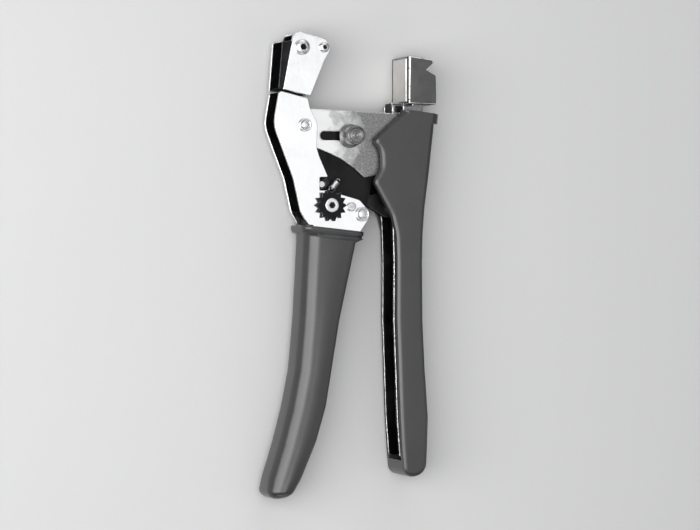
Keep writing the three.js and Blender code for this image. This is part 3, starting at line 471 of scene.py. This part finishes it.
knob_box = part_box("guide_knob")
knob_centre = (knob_box[0] + knob_box[1]) / 2
turned_steel, tree, shader = new_finish("turned_steel", (0.36, 0.36, 0.36), 0.30, 1.0)
circles = effect(tree, rings, Centre=tuple(knob_centre), Pitch=RING_PITCH)["Height"]
patches = effect(tree, smudge, Size=260.0, Contrast=0.2)["Mask"]
edges = effect(tree, edge_wear_and_highlight, Width=0.0002, Amount=0.8)
tone = mix_colours(tree, patches, (0.15, 0.15, 0.15), (0.24, 0.24, 0.24))
# Edge colour: wear on the turned edges, and a painted highlight on the rims of the knob
tone = mix_colours(tree, edges["Mask"], tone, (0.85, 0.85, 0.85))
tree.links.new(tone, shader.inputs["Base Color"])
tree.links.new(ramp(tree, patches, 0.0, 1.0, 0.32, 0.44), shader.inputs["Roughness"])
bump(tree, shader, circles, 0.00004, 0.8, edges["Normal"])

# %% [markdown]
# ### Moulded plastic of the two handles
# The handles are black plastic with a fine spark-eroded texture, shinier where hands rub it. A
# thin coat over the plastic gives the soft bright band, and patches vary its gloss.

# %% Grip plastic
MOULD_DULLING = 0.05

grip_plastic, tree, shader = new_finish(
    "grip_plastic", (0.020, 0.020, 0.021), 0.30, 0.0,
    Specular_IOR_Level=0.5, Coat_Weight=0.30, Coat_Roughness=0.24)
mould = effect(tree, grain, Scale=2600.0, Detail=2.0)
patches = effect(tree, smudge, Size=35.0, Contrast=0.25)["Mask"]
edges = effect(tree, edge_wear_and_highlight, Width=0.0006, Amount=0.35)
tone = mix_colours(tree, patches, (0.017, 0.017, 0.018), (0.024, 0.024, 0.025))
tone = mix_colours(tree, edges["Mask"], tone, (0.14, 0.14, 0.145))
tree.links.new(tone, shader.inputs["Base Color"])
spread = ramp(tree, patches, 0.0, 1.0, 0.30, 0.38)
fine = maths(tree, "MULTIPLY", mould["Mask"], MOULD_DULLING)
tree.links.new(maths(tree, "ADD", spread, fine), shader.inputs["Roughness"])
bump(tree, shader, mould["Height"], 0.00006, 0.5, edges["Normal"])

# %% [markdown]
# ### The table top
# The table is matt and pale, with a faint variation, so that it isn't a flat grey.

# %% Table finish
table_finish, tree, shader = new_finish("pale_table", (0.46, 0.46, 0.458), 0.7, 0.0)
patches = effect(tree, smudge, Size=3.0, Contrast=0.3)["Mask"]
tone = mix_colours(tree, patches, (0.452, 0.452, 0.450), (0.470, 0.470, 0.467))
tree.links.new(tone, shader.inputs["Base Color"])
table_top.data.materials.append(table_finish)

# %% [markdown]
# ## Finishing the solid parts
# The solids arrive as faceted meshes with hard edges. Real sheet metal has a small radius where it
# was stamped or deburred, and that radius is what catches the light. Modifiers add it without
# touching the mesh: weld the corners, merge the flat faces, round the edges, smooth the shading.

# %% The finish of each slot, and how far its edges are rounded, in millimetres
finish_of = {
    "chrome": (chrome, 0.35),
    "handle_steel": (handle_steel, 0.25),
    "satin_steel": (satin_steel, 0.45),
    "black_oxide": (black_oxide, 0.2),
    "zinc_plate": (zinc_plate, 0.15),
    "turned_steel": (turned_steel, 0.12),
    "hardened_steel": (hardened_steel, 0.15),
    "grip_plastic": (grip_plastic, 0.25),
    "block_black": (block_black, 0.3),
    "die_steel": (die_steel, 0.3),
    "spring_steel": (spring_steel, 0.1),
}
slot_of = {row["node"]: row["material_slot"] for row in frame["record"]["subparts"]}
print(len(finish_of), "slots")

# %% Helpers that round edges and even out shading
WELD_DISTANCE = 0.004 * MM
FLAT_WITHIN = math.radians(0.6)
SHARP_FROM = 32
FACE_WEIGHT = 80


def round_edges(obj, radius, angle):
    rim = obj.modifiers.new("edge_radius", "BEVEL")
    rim.width = radius * MM
    rim.segments = 2
    rim.limit_method = "ANGLE"
    rim.angle_limit = math.radians(angle)
    even = obj.modifiers.new("even_shading", "WEIGHTED_NORMAL")
    even.weight = FACE_WEIGHT


def smooth_solid(obj, radius):
    weld = obj.modifiers.new("weld", "WELD")
    weld.merge_threshold = WELD_DISTANCE
    merge = obj.modifiers.new("merge_flats", "DECIMATE")
    merge.decimate_type = "DISSOLVE"
    merge.angle_limit = FLAT_WITHIN
    round_edges(obj, radius, SHARP_FROM)


def clear_imported_shading(obj):
    with bpy.context.temp_override(object=obj, active_object=obj):
        bpy.ops.mesh.customdata_custom_splitnormals_clear()
    obj.data.shade_smooth()


# %% Finish every solid
for name, obj in nodes.items():
    finish, radius = finish_of[slot_of[name]]
    clear_imported_shading(obj)
    obj.data.materials.clear()
    obj.data.materials.append(finish)
    smooth_solid(obj, radius)
print("finished", len(nodes), "parts")

# %% [markdown]
# ## Turned pieces
# Rivets, screws and the knob are turned on a lathe, so they are rebuilt here as surfaces of
# revolution with many more steps than the solids need. A spun profile gives round outlines at any
# size on screen, and its crowns and grooves come from the profile itself.


# %% Helpers for new pieces
def make_mesh(name, points, faces, finish):
    mesh = bpy.data.meshes.new(name)
    mesh.from_pydata([tuple(p) for p in points], [], faces)
    mesh.validate()
    mesh.shade_smooth()
    obj = bpy.data.objects.new(name, mesh)
    obj.data.materials.append(finish)
    bpy.context.scene.collection.objects.link(obj)
    return obj


def stand_in(obj, body, node):
    """The piece rides on a body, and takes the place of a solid."""
    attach(obj, body)
    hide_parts(node)
    print(obj.name, len(obj.data.polygons), "faces")


def tube_faces(rings, steps):
    """Side faces between rings of points, and a cap at each end."""
    faces = []
    for ring in range(rings - 1):
        for step in range(steps):
            following = (step + 1) % steps
            a, b = ring * steps, (ring + 1) * steps
            faces.append((a + step, a + following, b + following, b + step))
    last = (rings - 1) * steps
    return faces + [tuple(range(steps))[::-1], tuple(range(last, last + steps))]


# %% A lathe
def spin(name, axis, profile, finish, steps=72, radius_at=None):
    """Spins [radius, height] points about an upright axis; radius_at may vary a ring's radius."""
    points = []
    for ring, (radius, height) in enumerate(profile):
        for step in range(steps):
            angle = 2 * math.pi * step / steps
            r = radius_at(ring, radius, angle) if radius_at else radius
            points.append((axis[0] + r * math.cos(angle), axis[1] + r * math.sin(angle), height))
    return make_mesh(name, points, tube_faces(len(profile), steps), finish)


def arc(centre_r, centre_h, radius, start, end, steps):
    """Points of a circular arc in a profile, with angles in degrees from outward."""
    points = []
    for i in range(steps + 1):
        angle = math.radians(start + (end - start) * i / steps)
        points.append((centre_r + radius * math.cos(angle), centre_h + radius * math.sin(angle)))
    return points


# %% A cutter for sockets
def carve(obj, cutter):
    """Cuts one mesh with another and keeps the result as plain geometry."""
    cut = obj.modifiers.new("cut", "BOOLEAN")
    cut.operation = "DIFFERENCE"
    cut.solver = "EXACT"
    # The cut faces take the cutter's finish: the hex cutters' black oxide paints shade into the
    # sockets
    cut.material_mode = "TRANSFER"
    cut.object = cutter
    bpy.context.view_layer.update()
    shown = obj.evaluated_get(bpy.context.evaluated_depsgraph_get())
    mesh = bpy.data.meshes.new_from_object(shown)
    obj.modifiers.clear()
    obj.data = mesh
    obj.data.shade_smooth()
    bpy.data.objects.remove(cutter)


def shade_painting_hex_cutter(name, axis, radius, low, high):
    corners = [(axis[0] + radius * math.cos(i * math.pi / 3),
                axis[1] + radius * math.sin(i * math.pi / 3)) for i in range(6)]
    points = [(x, y, low) for x, y in corners] + [(x, y, high) for x, y in corners]
    faces = [(i, (i + 1) % 6, (i + 1) % 6 + 6, i + 6) for i in range(6)]
    faces += [(5, 4, 3, 2, 1, 0), (6, 7, 8, 9, 10, 11)]
    # Black oxide here passes to the socket's walls in the cut: painted shade in the recess of a
    # zinc-plated screw
    return make_mesh(name, points, faces, black_oxide)


# %% [markdown]
# ### Rivets
# Each rivet holds the whole stack of plates, and its two ends are alike: a ring rolled outwards
# round a low crown. Half a profile is drawn and mirrored, so both ends match.

# %% Rivets
RIVET_HEAD = 1.3 * MM
RIVET_SHANK = 2.0 * MM
LIP_SHARE = 0.32
GROOVE = 0.12 * MM


def make_rivet(name):
    low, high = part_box(name)
    axis, middle, top = (low + high) / 2, (low.z + high.z) / 2, (high.z - low.z) / 2
    head = (high.x - low.x) / 2
    seat = top - RIVET_HEAD
    lip = LIP_SHARE * head / 2
    half = [(RIVET_SHANK, seat), (head - 0.1 * MM, seat), (head, seat + GROOVE)]
    half += arc(head - lip, seat + 0.45 * MM, lip, 0, 180, 10)
    half += [(0.67 * head, seat + GROOVE), (0.60 * head, seat + GROOVE)]
    half += [(0.57 * head * math.cos(t) ** 0.6, seat + 0.62 * MM + 0.42 * MM * math.sin(t))
             for t in np.linspace(0.0, math.pi / 2 - 0.12, 9)]
    profile = [(r, middle - h) for r, h in reversed(half)] + [(r, middle + h) for r, h in half]
    rivet = spin(name + "_turned", axis, profile, zinc_plate)
    round_edges(rivet, 0.05, 30)
    stand_in(rivet, "frame", name)
    return rivet


for name in ("upper_rivet", "lower_rivet"):
    print(make_rivet(name).name, len(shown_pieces()), "pieces")

# %% [markdown]
# ### Socket screws
# The two screws of the head are button heads with a hexagon socket. The dome is spun and the
# A drawn hexagon would only look like one. The socket's walls take the cutter's black oxide:
# painted shade in the recess.

# %% Socket screws
SEAT_GAP = 0.3 * MM
DOME_STOP = math.pi / 2 - 0.42
SOCKET_SHARE = 0.46
TIP_CHAMFER = 0.2 * MM


def make_socket_screw(name, shank, seat_height):
    low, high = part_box(name)
    axis = (low + high) / 2
    head = (high.x - low.x) / 2
    height = high.z - seat_height
    profile = [(shank - TIP_CHAMFER, low.z), (shank, low.z + TIP_CHAMFER),
               (shank, seat_height), (head, seat_height)]
    dome_base = seat_height + 0.25 * height
    profile += [(head * math.cos(t) ** 0.8, dome_base + 0.75 * height * math.sin(t))
                for t in np.linspace(0, DOME_STOP, 9)]
    profile += [(0.55 * head, high.z), (0.5 * head, high.z)]
    screw = spin(name + "_turned", axis, profile, zinc_plate)
    carve(screw, shade_painting_hex_cutter("shade_painting_socket_cutter", axis, SOCKET_SHARE * head,
                           seat_height + 0.2 * height, high.z + MM))
    round_edges(screw, 0.06, 30)
    stand_in(screw, "frame", name)


head_plate_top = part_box("front_head_plate")[1].z
make_socket_screw("large_head_screw", 1.8 * MM, head_plate_top + SEAT_GAP)
make_socket_screw("small_head_screw", 1.3 * MM, head_plate_top + SEAT_GAP)

# %% [markdown]
# ### The adjuster's screw
# The star wheel turns on a flat-headed screw whose flange sits under the front plate. Its profile
# runs from the flange, up through plate and wheel, to the head with its socket.

# %% Adjuster screw
PLATE_THICKNESS = 2.0 * MM
ADJUSTER_SHANK = 1.8 * MM

low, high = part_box("adjuster_screw")
axis = (low + high) / 2
flange = (high.x - low.x) / 2
flange_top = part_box("front_frame_plate")[1].z - PLATE_THICKNESS - SEAT_GAP
wheel_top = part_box("adjuster_wheel")[1].z
head = flange - 0.1 * MM
profile = [
    (flange - TIP_CHAMFER, low.z), (flange, low.z + TIP_CHAMFER), (flange, flange_top),
    (ADJUSTER_SHANK, flange_top), (ADJUSTER_SHANK, wheel_top + SEAT_GAP),
    (head, wheel_top + SEAT_GAP), (head, high.z - 0.15 * MM), (0.93 * head, high.z - 0.03 * MM),
    (0.86 * head, high.z), (0.62 * head, high.z), (0.58 * head, high.z - 0.02 * MM),
]
adjuster_screw = spin("adjuster_screw_turned", axis, profile, zinc_plate)
# The socket's walls take the cutter's black oxide: painted shade in the recess
carve(adjuster_screw, shade_painting_hex_cutter("shade_painting_socket_cutter", axis, 0.5 * head,
                                wheel_top - 0.4 * MM, high.z + MM))
round_edges(adjuster_screw, 0.05, 30)
stand_in(adjuster_screw, "frame", "adjuster_screw")

# %% [markdown]
# ## The guide knob
# The knob has a broad collar, a waist and a straight-knurled head with rings turned into its face.
# The knurl could be a bump, but it shows in the outline, so it is real geometry: the radius of
# each ring swings in and out with the angle.

# %% Knob profile, from the collar's underside to the middle of the face
KNURL_COUNT = 40
KNURL_DEPTH = 0.16 * MM
STEPS_PER_KNURL = 8
KNOB_HEAD = 4.3 * MM

low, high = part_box("guide_knob")
collar = (high.x - low.x) / 2
base, top = low.z, high.z
collar_part = [
    (2.0 * MM, base), (collar - 0.15 * MM, base), (collar, base + 0.15 * MM),
    (collar, base + 1.0 * MM), (collar - 0.25 * MM, base + 1.2 * MM),
]
waist_part = [(share * KNOB_HEAD, base + rise * MM) for share, rise in (
    (0.9, 1.7), (0.86, 2.0), (0.86, 2.5), (0.97, 2.8), (1.0, 3.1))]
knurled_part = [
    (KNOB_HEAD, base + 3.2 * MM), (KNOB_HEAD, top - 1.3 * MM),
]
face_part = [(share * KNOB_HEAD, top - drop * MM) for share, drop in (
    (1.0, 1.2), (0.985, 0.55), (0.93, 0.12), (0.86, 0.0), (0.82, 0.0), (0.80, 0.06), (0.79, 0.6),
    (0.72, 0.6), (0.715, 0.3), (0.70, 0.24), (0.68, 0.22), (0.44, 0.22), (0.42, 0.24),
    (0.41, 0.36), (0.37, 0.36), (0.36, 0.24), (0.34, 0.22), (0.17, 0.22), (0.15, 0.24),
    (0.12, 0.5), (0.04, 0.55))]
knob_profile = collar_part + waist_part + knurled_part + face_part
first_knurled = len(collar_part) + len(waist_part)
knurled = range(first_knurled, first_knurled + len(knurled_part))
print(len(knob_profile), "points in the profile")


# %% Knob
def knurl(ring, radius, angle):
    if ring not in knurled:
        return radius
    return radius - KNURL_DEPTH * (0.5 - 0.5 * math.cos(KNURL_COUNT * angle)) ** 0.7


knob = spin("guide_knob_turned", (low + high) / 2, knob_profile, turned_steel,
            KNURL_COUNT * STEPS_PER_KNURL, knurl)
round_edges(knob, 0.04, 40)
stand_in(knob, "knob", "guide_knob")

# %% [markdown]
# ## Springs
# The solid model only holds each spring's envelope. A curve with a round bevel could draw the
# wire, but a mesh swept along a path keeps its frame from twisting and closes both ends.


# %% A wire swept along a path
def wire(name, path, radius, finish, sides=10):
    points = []
    normal = (path[1] - path[0]).normalized().orthogonal().normalized()
    for i, p in enumerate(path):
        ahead = path[min(i + 1, len(path) - 1)] - path[max(i - 1, 0)]
        ahead.normalize()
        normal = (normal - normal.dot(ahead) * ahead).normalized()
        binormal = ahead.cross(normal)
        for k in range(sides):
            angle = 2 * math.pi * k / sides
            points.append(p + radius * (math.cos(angle) * normal + math.sin(angle) * binormal))
    return make_mesh(name, points, tube_faces(len(path), sides), finish)


# %% Pawl spring: a close-wound extension spring with a hook at each end
WIRE = 0.3 * MM
COIL = 1.35 * MM
COIL_TURNS = 9
STEPS_PER_TURN = 18
HOOK = 0.7 * MM
HOOK_STEPS = 9
HOOK_SWEEP = 0.85

low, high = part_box("pawl_spring")
depth = (low.z + high.z) / 2
start = Vector((low.x + 1.5 * MM, low.y + 1.4 * MM, depth))
end = Vector((high.x - 1.5 * MM, high.y - 1.4 * MM, depth))
along = (end - start).normalized()
across = Vector((-along.y, along.x, 0))
lift = Vector((0, 0, 1))


def hook(eye, first_angle):
    """An open eye in the plane of the plates; angles are in half turns from along."""
    points = []
    for i in range(HOOK_STEPS + 1):
        angle = math.pi * (first_angle - HOOK_SWEEP * i / HOOK_STEPS)
        points.append(eye + HOOK * (math.cos(angle) * along + math.sin(angle) * across))
    return points


path = hook(start - HOOK * along, 1.35)
for i in range(COIL_TURNS * STEPS_PER_TURN + 1):
    share = i / (COIL_TURNS * STEPS_PER_TURN)
    angle = 2 * math.pi * COIL_TURNS * share + math.pi / 2
    path.append(start.lerp(end, 0.06 + 0.88 * share)
                + COIL * (math.cos(angle) * lift + math.sin(angle) * across))
path += hook(end + HOOK * along, 0.5)
pawl_coil = wire("pawl_spring_wound", path, WIRE, spring_steel)
stand_in(pawl_coil, "frame", "pawl_spring")

# %% Return spring: three turns round the fulcrum pin and a leg along the frame
RETURN_WIRE = 0.42 * MM
RETURN_TURNS = 3
RETURN_STEPS = 24
LEG_RISE = 0.6 * MM

low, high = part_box("return_spring")
pin_low, pin_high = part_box("fulcrum_pin")
pin = (pin_low + pin_high) / 2
reach = high.x - pin.x - RETURN_WIRE
path = [Vector((low.x, pin.y + reach, low.z + RETURN_WIRE + LEG_RISE))]
for i in range(RETURN_TURNS * RETURN_STEPS + 1):
    share = i / (RETURN_TURNS * RETURN_STEPS)
    angle = math.pi / 2 - 2 * math.pi * RETURN_TURNS * share
    height = low.z + RETURN_WIRE + share * (high.z - low.z - 2 * RETURN_WIRE)
    path.append(Vector((pin.x + reach * math.cos(angle), pin.y + reach * math.sin(angle), height)))
coil = wire("return_spring_wound", path, RETURN_WIRE, spring_steel)
stand_in(coil, "frame", "return_spring")

# %% [markdown]
# ## The moulded grip
# The fixed arm's grip is one moulding: a two-step collar at its top and a body that narrows and
# leans as it goes down. A loft suits it, because each cross-section has the same shape: a rounded
# rectangle, fuller on the palm side than on the side of the other handle. The left and right
# edges come from a slice through the solid grip, so the loft keeps its outline.


# %% Left and right edge of a solid at any height of its slice
def slice_at(name, depth):
    """Segments where the solid crosses a level plane."""
    mesh = bmesh.new()
    mesh.from_mesh(nodes[name].data)
    mesh.transform(nodes[name].matrix_world)
    cut = bmesh.ops.bisect_plane(
        mesh, geom=mesh.verts[:] + mesh.edges[:] + mesh.faces[:],
        plane_co=(0, 0, depth), plane_no=(0, 0, 1), clear_inner=True, clear_outer=True)
    segments = [(e.verts[0].co.copy(), e.verts[1].co.copy())
                for e in cut["geom_cut"] if isinstance(e, bmesh.types.BMEdge)]
    mesh.free()
    print("slice of", name, "has", len(segments), "segments")
    return segments


def edges_at(segments, height):
    crossings = []
    for a, b in segments:
        if (a.y - height) * (b.y - height) <= 0 and abs(a.y - b.y) > 1e-9:
            share = (height - a.y) / (b.y - a.y)
            crossings.append(a.x + share * (b.x - a.x))
    return min(crossings), max(crossings)


# %% One cross-section: a rounded rectangle with a low crown on its faces
CORNER_STEPS = 10
FLAT_STEPS = 6
CROWN = 0.35 * MM
CROWN_SHARE = 0.02
WIDTH_SHARE = 0.48
DEPTH_SHARE = 0.95


def corner(middle_x, radius, rim, start):
    """A quarter circle that hangs from the rim, clockwise from the start angle."""
    points = []
    for i in range(CORNER_STEPS + 1):
        angle = start - 0.5 * math.pi * i / CORNER_STEPS
        points.append((middle_x + radius * math.cos(angle), rim - radius * (1 - math.sin(angle))))
    return points


def section(left, right, half_depth, full, slim, middle):
    """left and right are points on the outline; full and slim are the corner radii."""
    width = (right - left).length
    along = (right - left) / width
    full = min(full, WIDTH_SHARE * width, half_depth * DEPTH_SHARE)
    slim = min(slim, WIDTH_SHARE * width, half_depth * DEPTH_SHARE)
    crown = min(CROWN, CROWN_SHARE * width)
    rim = half_depth - crown
    upper = corner(full, full, rim, math.pi)
    for i in range(1, FLAT_STEPS):
        share = i / FLAT_STEPS
        x = full + share * (width - full - slim)
        upper.append((x, rim + crown * math.sin(math.pi * share)))
    upper += corner(width - slim, slim, rim, 0.5 * math.pi)
    ring = [left + x * along + Vector((0, 0, middle + h)) for x, h in upper]
    return ring + [left + x * along + Vector((0, 0, middle - h)) for x, h in reversed(upper)]


# %% The collar: a band, a step in, and a second band
COLLAR_TALL = 3.2 * MM
COLLAR_DROP = 3.0 * MM
COLLAR_CORNER = 4.0 * MM
OFF_MIDDLE = 0.05 * MM
EDGE_MARGIN = 0.2 * MM

low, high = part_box("left_grip")
middle = (low.z + high.z) / 2
half_depth = (high.z - low.z) / 2
outline = slice_at("left_grip", middle + OFF_MIDDLE)
collar_bottom = high.y - COLLAR_DROP - COLLAR_TALL - EDGE_MARGIN
collar_ends = [p for pair in outline for p in pair if p.y > collar_bottom]
collar_left = Vector((min(p.x for p in collar_ends), high.y, 0))
collar_right = Vector((max(p.x for p in collar_ends), high.y - COLLAR_DROP, 0))
slope = (collar_right - collar_left).normalized()
down = Vector((slope.y, -slope.x, 0))

grip_rings = []
for drop, inset in ((0.0, 0.5), (0.06, 0.28), (0.2, 0.1), (0.45, 0.0), (1.75, 0.0), (1.95, 0.08),
                    (2.05, 0.25), (2.1, 0.45), (2.9, 0.45), (3.08, 0.52), (3.15, 0.7)):
    drop, inset = drop * MM, inset * MM
    grip_rings.append(section(
        collar_left + drop * down + inset * slope, collar_right + drop * down - inset * slope,
        half_depth - inset, COLLAR_CORNER, COLLAR_CORNER, middle))
print(len(grip_rings), "rings in the collar")

# %% The body, ring by ring to its tip
BODY_STEPS = 110
CROWDING = 1.6
BODY_INSET = 0.25 * MM
FULL_CORNER = 6.6 * MM
SLIM_CORNER = 2.6 * MM
TIP_ROUND = 3.6 * MM
TIP_THINNING = 4.5 * MM
LEVEL_WITHIN = 40 * MM
CLEAR = 0.02 * MM
BELOW_TOP = 0.4 * MM

body_top = collar_left.y - COLLAR_TALL + CLEAR
tip = low.y
for i in range(BODY_STEPS + 1):
    share = i / BODY_STEPS
    eased = 1 - (1 - share) ** CROWDING
    y_left = body_top + (tip + CLEAR - body_top) * eased
    remaining = y_left - tip
    drop = COLLAR_DROP * min(1.0, remaining / LEVEL_WITHIN)
    left_x = edges_at(outline, min(y_left, body_top - BELOW_TOP))[0]
    right_x = edges_at(outline, max(y_left - drop, tip + CLEAR))[1]
    rise = min(1.0, remaining / TIP_ROUND)
    thinning = TIP_THINNING * (1 - math.sqrt(max(0.0, 1 - (1 - rise) ** 2)))
    grip_rings.append(section(
        Vector((left_x, y_left, 0)), Vector((right_x, max(y_left - drop, tip), 0)),
        half_depth - BODY_INSET - thinning, FULL_CORNER, SLIM_CORNER, middle))
print(len(grip_rings), "rings in all")

# %% The skin over the rings
count = len(grip_rings[0])
points = [p for ring in grip_rings for p in ring]
faces = []
for row in range(len(grip_rings) - 1):
    for k in range(count):
        following = (k + 1) % count
        a, b = row * count, (row + 1) * count
        faces.append((a + k, b + k, b + following, a + following))
last = (len(grip_rings) - 1) * count
faces += [tuple(range(count)), tuple(range(last, last + count))[::-1]]
left_grip = make_mesh("left_grip_moulded", points, faces, grip_plastic)
stand_in(left_grip, "frame", "left_grip")

# %% [markdown]
# ## The handle's cover
# The cover of the moving handle is an open moulding with a flat chamfer all the way round, which
# shows as a light band beside the channel. The solid has a rounded rim there. Its rows of points
# are the right ones for a chamfer, so one row is lowered until the faces beside it lie flat.

# %% Cover with a chamfered rim
RIM = 2.0 * MM
ROW_ANGLE = math.radians(30)
SAME_ROW = 0.04 * MM
BELOW_COLLAR = 8.0 * MM
COVER_EDGE = 0.2

source = nodes["handle_cover"]
low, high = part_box("handle_cover")
middle = (low.z + high.z) / 2
half_depth = (high.z - low.z) / 2
round_row = RIM * (1 - math.cos(ROW_ANGLE))
flat_row = RIM * 0.5 / math.sqrt(3)
shell = source.data.copy()
shell.transform(source.matrix_world)
moved = 0
for vertex in shell.vertices:
    depth = half_depth - abs(vertex.co.z - middle)
    if abs(depth - round_row) < SAME_ROW and vertex.co.y < high.y - BELOW_COLLAR:
        vertex.co.z = middle + math.copysign(half_depth - flat_row, vertex.co.z - middle)
        moved += 1
cover = bpy.data.objects.new("handle_cover_moulded", shell)
bpy.context.scene.collection.objects.link(cover)
smooth_solid(cover, COVER_EDGE)
stand_in(cover, "handle", "handle_cover")
print("chamfered", moved, "points")
